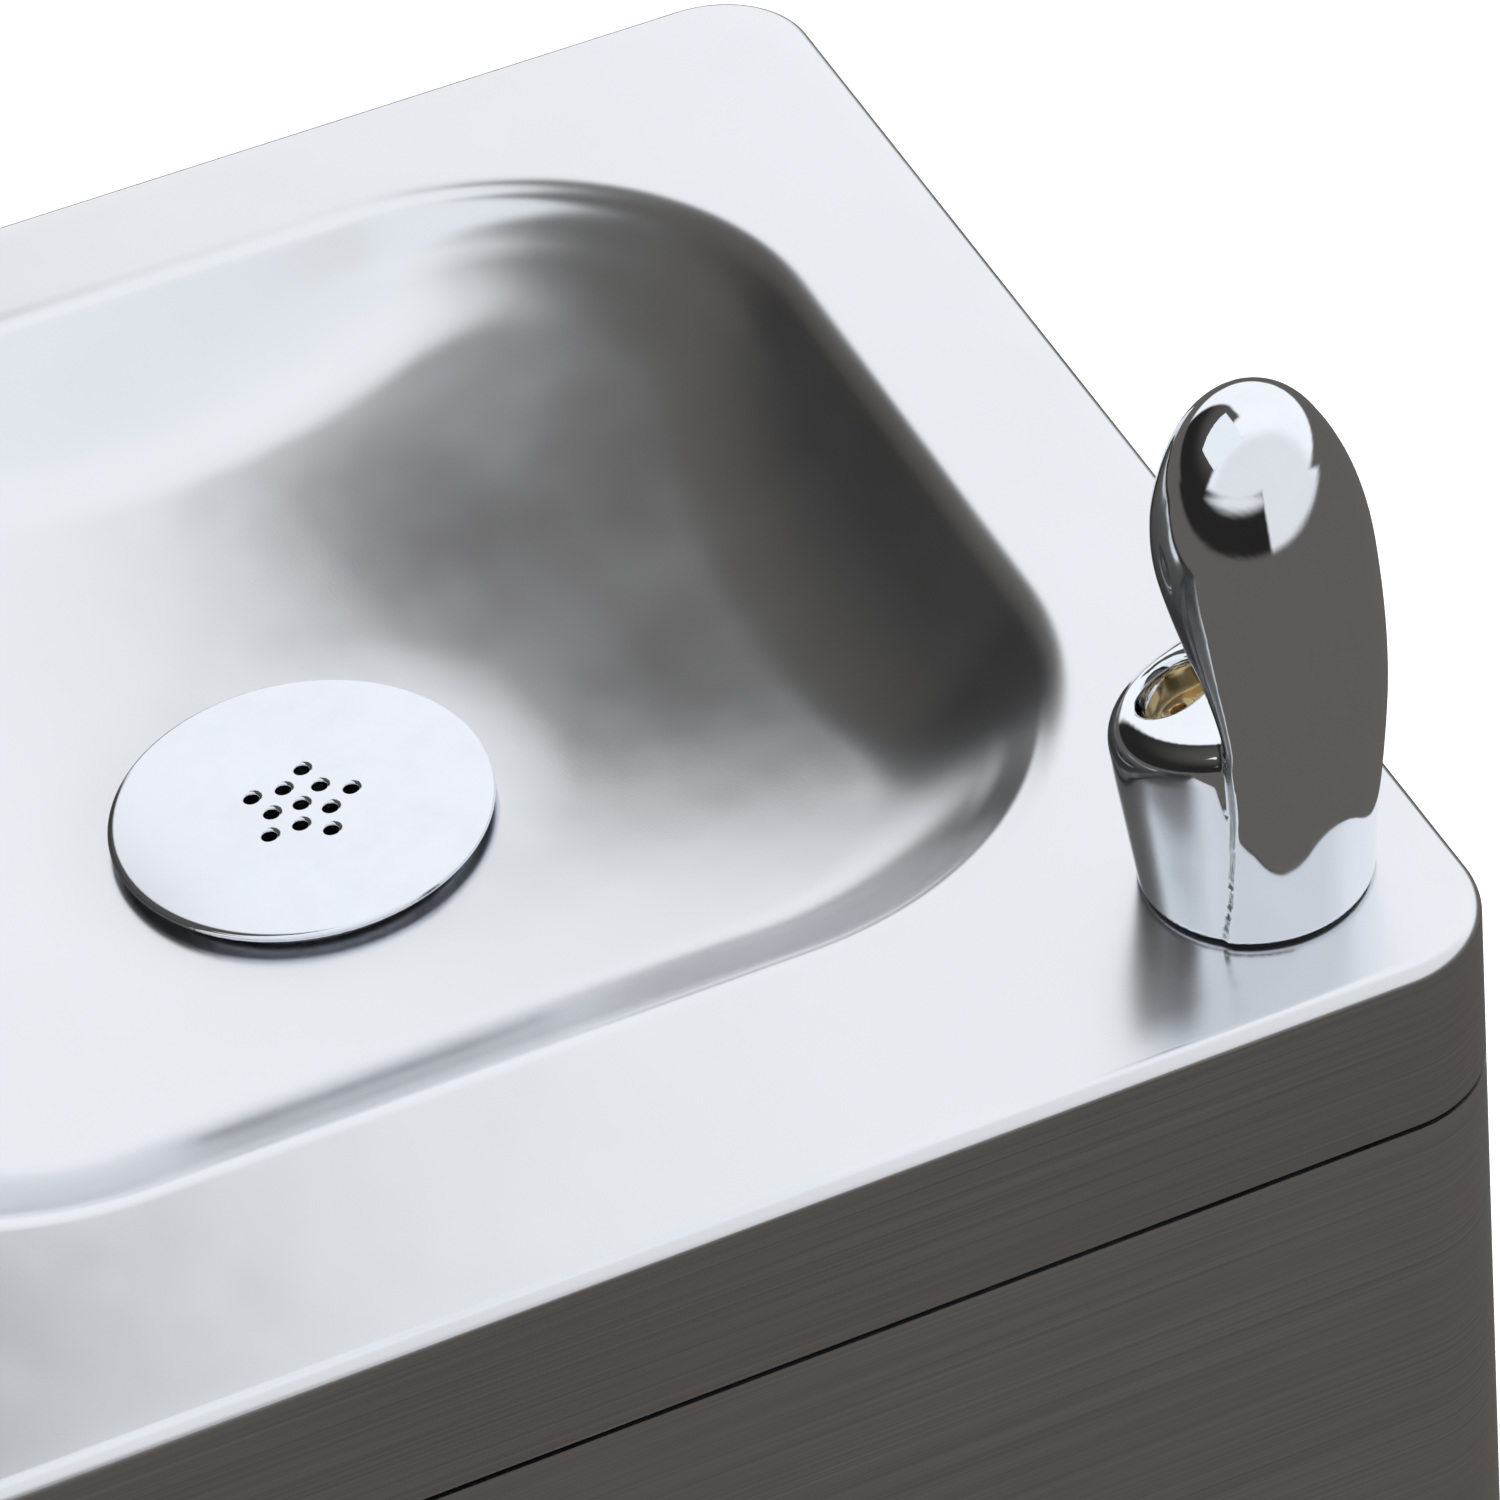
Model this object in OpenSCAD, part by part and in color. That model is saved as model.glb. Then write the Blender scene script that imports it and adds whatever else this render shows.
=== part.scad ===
// Floor-standing drinking fountain: a square pressed basin with a corner bubbler on a sheet-metal
// pedestal that holds the push-button valve, the water line, the trap and the waste pipe.
// Millimetres. The origin lies on the floor at the middle of the anchor holes. +Z is up and the
// front, with the push button, faces -Y.

/* [Basin] */
// Side of the square deck and pedestal
deck_w = 380; // [372:1:392]
// Height of the deck above the floor
deck_h = 960; // [880:5:1040]
// Height of the skirt that hangs from the deck
skirt_h = 41; // [40:1:46]
// Plan radius of the deck's corners
corner_r = 24; // [22:1:27]
// Radius of the deck's top edge
edge_r = 4; // [2:0.5:5]
// Depth of the bowl at the drain
bowl_depth = 38; // [36:1:42]
// Width of the bowl's outline at deck level
bowl_w = 304; // [298:1:306]
// Front-to-back length of the bowl's outline
bowl_l = 288; // [280:1:292]
// Plan radius of the bowl's corners
bowl_r = 84; // [80:1:90]
// Thickness of the basin and panel sheet
sheet = 1.2; // [1:0.1:1.5]

/* [Drain] */
// Diameter of the polished drain cover
cover_d = 83; // [78:1:86]
// Diameter of the cover's holes
cover_hole_d = 3.2; // [2.5:0.1:4]
// Radius of the waste pipe and tailpiece
waste_r = 16; // [15.5:0.5:16]

/* [Bubbler] */
// Distance of the bubbler's axis from the deck's side edge
bubbler_inset = 37; // [37:1:44]
// Distance of the bubbler's axis from the deck's front edge
bubbler_setback = 42; // [38:1:44]
// Height of the bubbler's hood above the deck
bubbler_h = 117; // [114:1:122]
// Radius of the bubbler's foot
foot_r = 23.5; // [22.5:0.5:24.5]
// Radius of the bubbler where its base is widest
waist_r = 27; // [26.5:0.5:28]
// Slope of the face that holds the nozzle
face_tilt = 20; // [16:1:22]

/* [Push button] */
// Depth of the button's centre below the deck
button_drop = 110; // [105:1:125]
// Radius of the button's head
button_r = 14; // [12:0.5:14]
// How far the button travels
button_travel = 4; // [2:0.5:4]

/* [Pedestal] */
// Spacing of the floor anchor holes, left to right
anchor_x = 260; // [220:5:270]
// Spacing of the floor anchor holes, front to back
anchor_y = 330; // [326:1:334]
// Radius of the floor anchor holes
anchor_r = 5.5; // [4.5:0.5:6.5]
// Width of the rear opening that the door fills
door_opening = 300; // [290:2:304]

/* [Hidden] */
$fn = 64;

half = deck_w / 2;
skirt_z = deck_h - skirt_h;
inner = half - sheet;
fit = 0.05;
gap = 0.3;

// Bowl: its centre sits a little behind the deck's, and the drain lies on the deck's middle
bowl_y = 12;
drain_y = 1;
lip_r = 12;
wall_angle = 40;
dish_r = 480;
drain_flat_r = 45;
floor_z = deck_h - bowl_depth;

// Drain body: a flanged throat through the bowl's floor
flange_r = 37;
flange_t = 1.6;
throat_r = 20;
throat_bore = 17.5;
throat_end = floor_z - 60;
cover_lift = 1;
cover_t = 1.8;
cover_z = floor_z + flange_t + cover_lift;
star_turn = 70;

// Waste run, going down, left through the trap, over and down to the floor
bend_r = 31;
pipe_wall = 1.5;
trap_z = throat_end - 97;
riser_top = trap_z + 25;
arm_z = riser_top + 10;
waste_x = -4 * bend_r;
adapter_z = 50;
waste_clip_z = 400;

// Studs that hold the basin down on the top frame
stud_x = 120;
stud_y = inner - 14.5;

// Bubbler frame: local +X faces the bowl along the deck's diagonal
bub_x = half - bubbler_inset;
bub_y = bubbler_setback - half;
gasket_t = 1;
shank_r = 9;
shank_end = deck_h - 45;
face_z = 46;
face_s = 5;
recess_s = 16;
recess_r = 7.5;

// Valve: its axis runs front to back behind the button
button_z = deck_h - button_drop;
front_y = -half;
barrel_r = 20;
flange_out = 4;
valve_front = front_y + 30;
valve_r = 18;
stem_r = 4;
chamber_r = 8;
chamber_front = valve_front + 10;
chamber_back = valve_front + 38;
valve_back = valve_front + 48;
outlet_y = valve_front + 24;
inlet_y = valve_front + 32;
shoulder_y = front_y + 6;
head_out = 10;
button_back = shoulder_y + 4;
tube_r = 4.76;
tube_bore = 3.8;
elbow_r = 18;
shank_vector = [bub_x, bub_y - outlet_y];
supply_angle = atan2(shank_vector[1], shank_vector[0]);
supply_len = norm(shank_vector);
boss_end = 32;
inlet_z = button_z - 30;

// Water line, straight down from the valve to the stop valve
strainer_z = 440;
strainer_h = 60;
stop_z = 220;
stop_h = 60;
inlet_thread_r = 10.48;
inlet_thread_l = 14;
handle_y = inlet_y + 25;
ball_r = 9;
water_clip_z = 350;

// Frames and rear panels
bar = 3;
rear_set = 3;
leg_h = 70;
flange_w = 20;
base_w = 40;
base_h = 30;
door_face = half - rear_set;
door_low = 60;
door_high = skirt_z - 37;
lip_x = door_opening / 2;
door_side = lip_x - 1.5;
pivot_x = -door_side + 4.5;
pivot_y = door_face - 3;
pivot_r = 2.5;
pivot_l = 18;
pan_flange = 12;
lock_x = 125;
lock_z = 470;
cam_len = 30;

// An arc's points around centre c, from angle a to angle b
function arc(c, r, a, b, steps = 10) =
    [for (i = [0:steps]) let (t = a + (b - a) * i / steps) c + r * [cos(t), sin(t)]];

// A half profile of the bowl's rim and wall, from its corner's centre out, thickened downward by t
function rim_profile(t) =
    let (lip = arc([bowl_r, -lip_r], lip_r - t, 90, 90 + wall_angle, 8),
         lip_end = lip[len(lip) - 1],
         foot_z = -bowl_depth - t,
         foot_u = lip_end[0] - (lip_end[1] - foot_z) / tan(wall_angle))
    concat([[0, 2], [bowl_r, 2]], lip, [[foot_u, foot_z], [0, foot_z]]);

// A 2D rectangle with round corners
module round_rect(w, d, r) {
    square([w - 2 * r, d], center = true);
    square([w, d - 2 * r], center = true);
    for (x = [-1, 1], y = [-1, 1])
        translate([x * (w / 2 - r), y * (d / 2 - r)]) circle(r);
}

// A solid whose edge profile, drawn outward from each corner's centre, runs round a rectangle
module swept_pan(w, d, r, low, high) {
    for (x = [-1, 1], y = [-1, 1])
        translate([x * (w / 2 - r), y * (d / 2 - r), 0]) rotate_extrude() children();
    for (y = [0, 180])
        rotate([0, 0, y]) translate([0, d / 2 - r, 0]) rotate([90, 0, 90])
            linear_extrude(w - 2 * r, center = true) children();
    for (x = [-90, 90])
        rotate([0, 0, x]) translate([0, w / 2 - r, 0]) rotate([90, 0, 90])
            linear_extrude(d - 2 * r, center = true) children();
    translate([-w / 2 + r, -d / 2 + r, low]) cube([w - 2 * r, d - 2 * r, high - low]);
}

// The deck block with its rounded top edge
module deck_block(w, r, e, height) {
    swept_pan(w, w, r, -height, 0) {
        polygon(concat([[0, 0]], [for (p = arc([r - e, -e], e, 90, 0, 6)) p], [[r, -height], [0, -height]]));
    }
}

// The bowl as a solid: its cavity at t = 0, its underside at t = sheet. Below its wall it is a shallow
// spherical dish with a flat for the drain
module bowl_solid(t) {
    dish_z = sqrt(dish_r * dish_r - drain_flat_r * drain_flat_r) - bowl_depth;
    intersection() {
        translate([0, bowl_y, 0])
            swept_pan(bowl_w, bowl_l, bowl_r, -bowl_depth - t, 2) polygon(rim_profile(t));
        translate([0, drain_y, dish_z]) sphere(dish_r + t, $fn = 180);
    }
}

// A tube of outer radius r and bore b, from z = 0 to z = h
module tube(r, b, h) {
    difference() {
        cylinder(h = h, r = r);
        translate([0, 0, -1]) cylinder(h = h + 2, r = b);
    }
}

// A tube bend that starts at the origin going up, and turns by angle towards +X; bore 0 makes it solid
module tube_bend(r, b, radius, angle) {
    translate([radius, 0, 0]) rotate([90, 0, 180]) rotate_extrude(angle = angle)
        translate([radius, 0, 0]) difference() {
            circle(r);
            if (b > 0) circle(b);
        }
}

// A hexagonal nut of across-flats af, with a bore
module hex_nut(af, bore, h) {
    difference() {
        cylinder(h = h, r = af / sqrt(3), $fn = 6);
        translate([0, 0, -1]) cylinder(h = h + 2, r = bore);
    }
}

// Turns +Z into +Y, for parts on a front-to-back axis
module along_y(x, y, z) {
    translate([x, y, z]) rotate([-90, 0, 0]) children();
}

module at_drain(z) {
    translate([0, drain_y, z]) children();
}

module at_bubbler(z) {
    translate([bub_x, bub_y, z]) rotate([0, 0, 135]) children();
}

module at_water(z) {
    translate([0, inlet_y, z]) children();
}

// ---- Basin and its fixings ----

module basin() {
    color("gainsboro") difference() {
        union() {
            translate([0, 0, deck_h]) difference() {
                deck_block(deck_w, corner_r, edge_r, skirt_h);
                translate([0, 0, -sheet])
                    deck_block(deck_w - 2 * sheet, corner_r - sheet, edge_r - sheet, skirt_h);
            }
            translate([0, 0, deck_h]) intersection() {
                bowl_solid(sheet);
                translate([-half, -half, -bowl_depth - sheet - 1])
                    cube([deck_w, deck_w, bowl_depth + sheet + 1]);
            }
        }
        translate([0, 0, deck_h]) bowl_solid(0);
        at_drain(floor_z - 5) cylinder(h = 10, r = throat_r + gap);
        at_bubbler(deck_h - 5) cylinder(h = 10, r = shank_r + gap);
    }
}

module at_studs(z) {
    for (x = [-stud_x, stud_x], y = [-stud_y, stud_y])
        translate([x, y, z]) children();
}

module basin_studs() {
    color("silver") at_studs(deck_h - leg_h - 6) cylinder(h = leg_h + 6 - sheet, r = 2.5);
}

module basin_nuts() {
    color("silver") at_studs(deck_h - leg_h - 5) hex_nut(8, 2.5, 4.5);
}

// ---- Drain and waste ----

// Eleven holes: the centre, five round it and five at the points of the star
module star_holes() {
    cylinder(h = 20, r = cover_hole_d / 2, center = true);
    for (ring = [[6.6, 36], [11.2, 0]], i = [0:4])
        rotate([0, 0, 72 * i + ring[1] + star_turn]) translate([ring[0], 0, 0])
            cylinder(h = 20, r = cover_hole_d / 2, center = true);
}

module drain_cover() {
    spigot_r = throat_bore - 0.4;
    color("white") at_drain(cover_z) difference() {
        union() {
            cylinder(h = cover_t - 0.6, r = cover_d / 2);
            translate([0, 0, cover_t - 0.6]) cylinder(h = 0.6, r1 = cover_d / 2, r2 = cover_d / 2 - 0.8);
            translate([0, 0, -7]) tube(spigot_r, spigot_r - 1.5, 7.5);
            for (i = [0:2])
                rotate([0, 0, 120 * i]) translate([28, 0, 0.1 - cover_lift])
                    cylinder(h = cover_lift, r = 2.5);
        }
        star_holes();
    }
}

module drain_body() {
    color("silver") at_drain(0) difference() {
        union() {
            translate([0, 0, floor_z]) cylinder(h = flange_t, r = flange_r);
            translate([0, 0, throat_end]) cylinder(h = floor_z - throat_end, r = throat_r);
        }
        translate([0, 0, throat_end - 1]) cylinder(h = 80, r = throat_bore);
    }
}

module drain_gasket() {
    color("dimgray") at_drain(floor_z - sheet - 3) tube(32, throat_r, 3);
}

module drain_washer() {
    color("silver") at_drain(floor_z - sheet - 4.5) tube(30, throat_r, 1.5);
}

module drain_locknut() {
    color("goldenrod") at_drain(floor_z - sheet - 13.5) hex_nut(52, throat_r, 9);
}

module tailpiece() {
    color("silver") at_drain(throat_end - 90) {
        tube(waste_r, waste_r - pipe_wall, 88.4);
        translate([0, 0, 88.4]) tube(throat_r - 0.4, waste_r - pipe_wall, 1.6);
    }
}

// A slip nut: a knurled ring with a lip that closes on the smaller tube
module slip_nut(socket_r, h) {
    lip = 4;
    difference() {
        union() {
            cylinder(h = h, r = socket_r + 3);
            for (i = [0:7])
                rotate([0, 0, 45 * i]) translate([socket_r + 2.5, -2, 0]) cube([2, 4, h]);
        }
        translate([0, 0, -1]) cylinder(h = h - lip + 1, r = socket_r);
        cylinder(h = h + 1, r = waste_r);
    }
}

module slip_nuts() {
    color("silver") {
        at_drain(throat_end + 10) mirror([0, 0, 1]) slip_nut(throat_r, 16);
        at_drain(trap_z + 22) slip_nut(waste_r + 2.5, 16);
        translate([-2 * bend_r, drain_y, riser_top - 12]) slip_nut(waste_r + 2.5, 16);
        translate([waste_x, drain_y, arm_z - 28]) slip_nut(waste_r + 2.5, 16);
    }
}

// The U bend with a socket on each leg, each with a shoulder that the mating tube stops on
module trap_bend() {
    legs = [[0, 34], [-2 * bend_r, riser_top - trap_z]];
    color("silver") difference() {
        union() {
            at_drain(trap_z) rotate([180, 0, 180]) tube_bend(waste_r, 0, bend_r, 180);
            for (leg = legs)
                translate([leg[0], drain_y, trap_z - 2]) cylinder(h = leg[1] + 2, r = waste_r + 2.5);
            translate([-bend_r, drain_y, trap_z - bend_r - waste_r - 6]) cylinder(h = 12, r = 11);
        }
        at_drain(trap_z) rotate([180, 0, 180]) tube_bend(waste_r - pipe_wall, 0, bend_r, 180);
        for (leg = legs)
            translate([leg[0], drain_y, trap_z]) cylinder(h = leg[1] + 1, r = waste_r);
        translate([-bend_r, drain_y, trap_z - bend_r - waste_r - 7]) cylinder(h = 22, r = 8);
    }
}

module cleanout_plug() {
    color("goldenrod") translate([-bend_r, drain_y, trap_z - bend_r - waste_r - 11]) {
        cylinder(h = 5, r = 11, $fn = 6);
        translate([0, 0, 5]) cylinder(h = 7, r = 8);
    }
}

module trap_arm() {
    color("silver") {
        translate([-2 * bend_r, drain_y, trap_z + 2])
            tube(waste_r, waste_r - pipe_wall, arm_z - trap_z - 2);
        translate([-2 * bend_r, drain_y, arm_z]) rotate([0, 0, 180])
            tube_bend(waste_r, waste_r - pipe_wall, bend_r, 180);
        translate([waste_x, drain_y, arm_z - 30]) tube(waste_r, waste_r - pipe_wall, 30);
    }
}

module waste_pipe() {
    color("silver") translate([waste_x, drain_y, 0]) {
        translate([0, 0, adapter_z + 6]) tube(waste_r, waste_r - pipe_wall, arm_z - 36 - adapter_z);
        translate([0, 0, arm_z - 40]) difference() {
            cylinder(h = 24, r = waste_r + 2.5);
            translate([0, 0, -1]) cylinder(h = 30, r = waste_r);
        }
    }
}

module waste_adapter() {
    color("dimgray") translate([waste_x, drain_y, 0]) difference() {
        union() {
            translate([0, 0, adapter_z]) cylinder(h = 30, r = waste_r + 4);
            translate([0, 0, 10]) cylinder(h = adapter_z - 10, r = waste_r);
        }
        translate([0, 0, 9]) cylinder(h = 50, r = waste_r - 3);
        translate([0, 0, adapter_z + 6]) cylinder(h = 30, r = waste_r);
    }
}

// A clip: a split band round a pipe, an arm and a foot plate at distance reach
module pipe_clip(r, reach) {
    difference() {
        union() {
            cylinder(h = 14, r = r + 2);
            translate([r, -1.5, 0]) cube([reach - r, 3, 14]);
            translate([reach - 2, -14, 0]) cube([2, 28, 14]);
        }
        translate([0, 0, -1]) cylinder(h = 16, r = r);
    }
}

module waste_clip() {
    color("silver") translate([waste_x, drain_y, waste_clip_z]) rotate([0, 0, 180])
        pipe_clip(waste_r, inner + waste_x);
}

// ---- Bubbler ----

// Half profile of the base, flaring from the foot to a rounded waist
module base_profile() {
    rim = 6;
    polygon(concat([[0, 0], [foot_r, 0], [foot_r, 4]],
        arc([waist_r - rim, 36], rim, -10, 90, 8), [[0, 36 + rim]]));
}

// The hood: it rises from the rear of the base and leans forward at the head
module hood_solid() {
    head_r = 22;
    brow_r = 13;
    hull() {
        translate([0, 0, 30]) cylinder(h = 26, r = waist_r, $fn = 32);
        translate([-2, 0, 70]) cylinder(h = 6, r = waist_r - 1.8, $fn = 32);
        translate([-4.5, 0, bubbler_h - gasket_t - head_r]) sphere(head_r, $fn = 32);
        translate([7.5, 0, bubbler_h - 28]) sphere(brow_r, $fn = 32);
    }
}

// What the front of the bubbler leaves open: the sloped face, the neck and the underside of the brow
module scoop() {
    reach = 60;
    rotate([90, 0, 0]) linear_extrude(3 * waist_r, center = true)
        polygon([[face_s, face_z], [face_s + 2, face_z + 12], [face_s + 8, face_z + 27],
            [face_s + 13, face_z + 36], [reach, face_z + 36],
            [reach, face_z - (reach - face_s) * tan(face_tilt)]]);
}

// The nozzle recess, square to the sloped face
module at_recess() {
    translate([recess_s, 0, face_z - (recess_s - face_s) * tan(face_tilt)])
        rotate([0, face_tilt, 0]) children();
}

module bubbler_body() {
    color("lightsteelblue") at_bubbler(deck_h + gasket_t) difference() {
        union() {
            rotate_extrude() base_profile();
            hood_solid();
        }
        scoop();
        at_recess() translate([0, 0, -14]) cylinder(h = 20, r = recess_r);
        translate([0, 0, -1]) cylinder(h = 11, r = shank_r);
        translate([0, 0, 5]) cylinder(h = 14, r = 4);
    }
}

module bubbler_nozzle() {
    color("goldenrod") at_bubbler(deck_h + gasket_t) at_recess() difference() {
        union() {
            translate([0, 0, -14]) cylinder(h = 4, r = recess_r);
            translate([0, 0, -10]) cylinder(h = 4, r1 = 5, r2 = 3.6);
        }
        translate([0, 0, -15]) cylinder(h = 12, r = 1.6);
    }
}

module bubbler_gasket() {
    color("black") at_bubbler(deck_h) tube(foot_r - 1, shank_r, gasket_t);
}

module bubbler_shank() {
    color("goldenrod") at_bubbler(shank_end) tube(shank_r, 5.5, deck_h + gasket_t + 10 - shank_end);
}

module bubbler_washer() {
    color("dimgray") at_bubbler(deck_h - sheet - 2) tube(16, shank_r, 2);
}

module bubbler_locknut() {
    color("goldenrod") at_bubbler(deck_h - sheet - 9) hex_nut(28, shank_r, 7);
}

// ---- Push button and valve ----

module button_bezel() {
    color("gainsboro") along_y(0, front_y, button_z) difference() {
        union() {
            translate([0, 0, -flange_out]) cylinder(h = 1.5, r1 = 25.5, r2 = 27);
            translate([0, 0, 1.5 - flange_out]) cylinder(h = flange_out - 1.8, r = 27);
            translate([0, 0, -1]) cylinder(h = 31, r = barrel_r);
        }
        translate([0, 0, -flange_out - 1]) cylinder(h = 40, r = button_r + gap);
        translate([0, 0, shoulder_y - front_y]) cylinder(h = 40, r = button_r + 2 + gap);
    }
}

module bezel_gasket() {
    color("black") along_y(0, front_y - 0.3, button_z) tube(26, barrel_r, 0.3);
}

module bezel_nut() {
    color("silver") along_y(0, front_y + sheet, button_z) hex_nut(48, barrel_r, 7);
}

module push_button() {
    color("white") along_y(0, 0, button_z) {
        translate([0, 0, front_y - head_out]) cylinder(h = 1.5, r1 = button_r - 1.5, r2 = button_r);
        translate([0, 0, front_y - head_out + 1.5])
            cylinder(h = shoulder_y + 0.1 - front_y + head_out - 1.5, r = button_r);
        translate([0, 0, shoulder_y + 0.1]) cylinder(h = button_back - shoulder_y - 0.1, r = button_r + 2);
    }
}

module valve_body() {
    color("goldenrod") difference() {
        union() {
            along_y(0, valve_front, button_z) cylinder(h = valve_back - valve_front, r = valve_r);
            along_y(0, valve_front - 8, button_z) cylinder(h = 9, r = button_r + 2 + gap);
            translate([0, outlet_y, button_z]) rotate([0, 90, supply_angle]) cylinder(h = boss_end, r = 8);
            translate([0, inlet_y, inlet_z]) cylinder(h = 20, r = 8);
            translate([0, inlet_y, button_z]) cylinder(h = 24, r = 6);
        }
        along_y(0, valve_front - 9, button_z) cylinder(h = 70, r = stem_r + fit);
        along_y(0, chamber_front, button_z) cylinder(h = chamber_back - chamber_front, r = chamber_r);
        along_y(0, valve_front + 2, button_z) cylinder(h = 3, r = 6);
        translate([0, outlet_y, button_z]) rotate([0, 90, supply_angle]) cylinder(h = 50, r = tube_bore);
        translate([0, inlet_y, inlet_z - 1]) cylinder(h = 32, r = tube_bore);
        translate([0, inlet_y, button_z + chamber_r + 1]) cylinder(h = 20, r = 3 + fit);
    }
}

module valve_cap() {
    color("goldenrod") along_y(0, valve_back, button_z) difference() {
        cylinder(h = 9, r = 15, $fn = 6);
        translate([0, 0, -1]) cylinder(h = 6, r = stem_r + fit);
    }
}

module valve_stem() {
    tail = valve_back - 2;
    color("silver") along_y(0, 0, button_z) {
        translate([0, 0, button_back]) cylinder(h = tail - button_back, r = stem_r);
        translate([0, 0, chamber_front + gap]) cylinder(h = 3, r = chamber_r - gap);
    }
}

module stem_seal() {
    color("black") along_y(0, valve_front + 3.5, button_z) rotate_extrude()
        translate([stem_r + fit + 0.9, 0]) circle(0.85);
}

// A closed helix of wire radius w and coil radius r, rising by h
module coil(r, w, h, turns) {
    sides = 8;
    steps = 20 * turns;
    rings = [for (i = [0:steps], j = [0:sides - 1])
        let (t = 360 * turns * i / steps, a = 360 * j / sides)
            [(r + w * cos(a)) * cos(t), (r + w * cos(a)) * sin(t), w + (h - 2 * w) * i / steps + w * sin(a)]];
    walls = [for (i = [0:steps - 1], j = [0:sides - 1])
        let (k = (j + 1) % sides)
            [i * sides + j, i * sides + k, (i + 1) * sides + k, (i + 1) * sides + j]];
    polyhedron(rings, concat(walls, [[for (j = [sides - 1:-1:0]) j]],
        [[for (j = [0:sides - 1]) steps * sides + j]]), convexity = 10);
}

module valve_spring() {
    color("silver") along_y(0, chamber_front + 3 + 2 * gap, button_z)
        coil(5.8, 0.7, chamber_back - chamber_front - 3 - 3 * gap, 6);
}

module flow_screw() {
    color("silver") translate([0, inlet_y, button_z]) difference() {
        union() {
            translate([0, 0, chamber_r + 2]) cylinder(h = 15, r = 3);
            translate([0, 0, 24.3]) cylinder(h = 3, r = 4.5);
        }
        translate([-5, -0.6, 26]) cube([10, 1.2, 3]);
    }
}

// ---- Water line ----

module supply_tube() {
    color("peru") translate([0, outlet_y, button_z]) rotate([0, 0, supply_angle]) {
        translate([boss_end, 0, 0]) rotate([0, 90, 0])
            tube(tube_r, tube_bore, supply_len - elbow_r - boss_end);
        translate([supply_len - elbow_r, 0, 0]) translate([0, 0, elbow_r]) rotate([90, 0, 0])
            rotate([0, 0, -90]) rotate_extrude(angle = 90) translate([elbow_r, 0])
                difference() {
                    circle(tube_r);
                    circle(tube_bore);
                }
        translate([supply_len, 0, elbow_r])
            tube(tube_r, tube_bore, shank_end - button_z - elbow_r + 8);
    }
}

module compression_nut() {
    hex_nut(17, tube_r, 12);
}

module compression_nuts() {
    nut = 12;
    color("goldenrod") {
        translate([0, outlet_y, button_z]) rotate([0, 90, supply_angle])
            translate([0, 0, boss_end]) compression_nut();
        translate([0, outlet_y, button_z]) rotate([0, 0, supply_angle])
            translate([supply_len, 0, shank_end - button_z - nut]) compression_nut();
        at_water(inlet_z - nut) compression_nut();
        at_water(strainer_z + strainer_h + 8) compression_nut();
        at_water(strainer_z - nut) compression_nut();
        at_water(stop_z + stop_h / 2) compression_nut();
    }
}

module inlet_tube() {
    low = strainer_z + strainer_h + 8;
    color("peru") at_water(low) tube(tube_r, tube_bore, inlet_z - low);
}

module strainer_body() {
    color("goldenrod") at_water(strainer_z) difference() {
        cylinder(h = strainer_h, r = 14);
        translate([0, 0, 6]) cylinder(h = strainer_h, r = 10.5);
        translate([0, 0, -1]) cylinder(h = 10, r = tube_bore);
    }
}

module strainer_cap() {
    color("goldenrod") at_water(strainer_z + strainer_h) difference() {
        union() {
            cylinder(h = 8, r = 16, $fn = 6);
            translate([0, 0, -8]) cylinder(h = 8, r = 10.5);
        }
        translate([0, 0, -9]) cylinder(h = 20, r = tube_bore);
    }
}

module strainer_screen() {
    color("silver") at_water(strainer_z + 6) tube(7.5, 6.7, strainer_h - 14);
}

module riser_tube() {
    low = stop_z + stop_h / 2;
    color("peru") at_water(low) tube(tube_r, tube_bore, strainer_z - low);
}

module stop_valve_body() {
    boss = 20;
    color("goldenrod") at_water(stop_z) difference() {
        union() {
            translate([0, 0, -stop_h / 2]) cylinder(h = stop_h, r = 13);
            translate([0, 0, stop_h / 2 - 10]) cylinder(h = 10, r = 15.6, $fn = 6);
            translate([0, 0, -stop_h / 2]) cylinder(h = 10, r = 15.6, $fn = 6);
            translate([0, 0, -stop_h / 2 - inlet_thread_l]) cylinder(h = inlet_thread_l, r = inlet_thread_r);
            rotate([-90, 0, 0]) cylinder(h = boss, r = 8);
        }
        translate([0, 0, -stop_h]) cylinder(h = 2 * stop_h, r = tube_bore);
        sphere(ball_r + fit);
        rotate([-90, 0, 0]) cylinder(h = boss + 1, r = stem_r + fit);
    }
}

module stop_valve_ball() {
    color("silver") at_water(stop_z) difference() {
        sphere(ball_r);
        cylinder(h = 20, r = tube_bore, center = true);
    }
}

module stop_valve_stem() {
    color("silver") at_water(stop_z) rotate([-90, 0, 0])
        translate([0, 0, ball_r + fit]) cylinder(h = 24.5, r = stem_r);
}

module stop_valve_handle() {
    lever = 58;
    color("firebrick") along_y(0, handle_y, stop_z) difference() {
        union() {
            cylinder(h = 3, r = 10);
            translate([-6, -lever, 0]) cube([12, lever, 3]);
            translate([0, -lever, 0]) cylinder(h = 3, r = 6);
        }
        translate([0, 0, -1]) cylinder(h = 5, r = stem_r);
    }
}

module handle_nut() {
    color("silver") along_y(0, handle_y + 3, stop_z) hex_nut(13, stem_r, 4);
}

module water_clip() {
    color("silver") at_water(water_clip_z) rotate([0, 0, -90]) pipe_clip(tube_r, inner + inlet_y);
}

// ---- Pedestal ----

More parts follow.
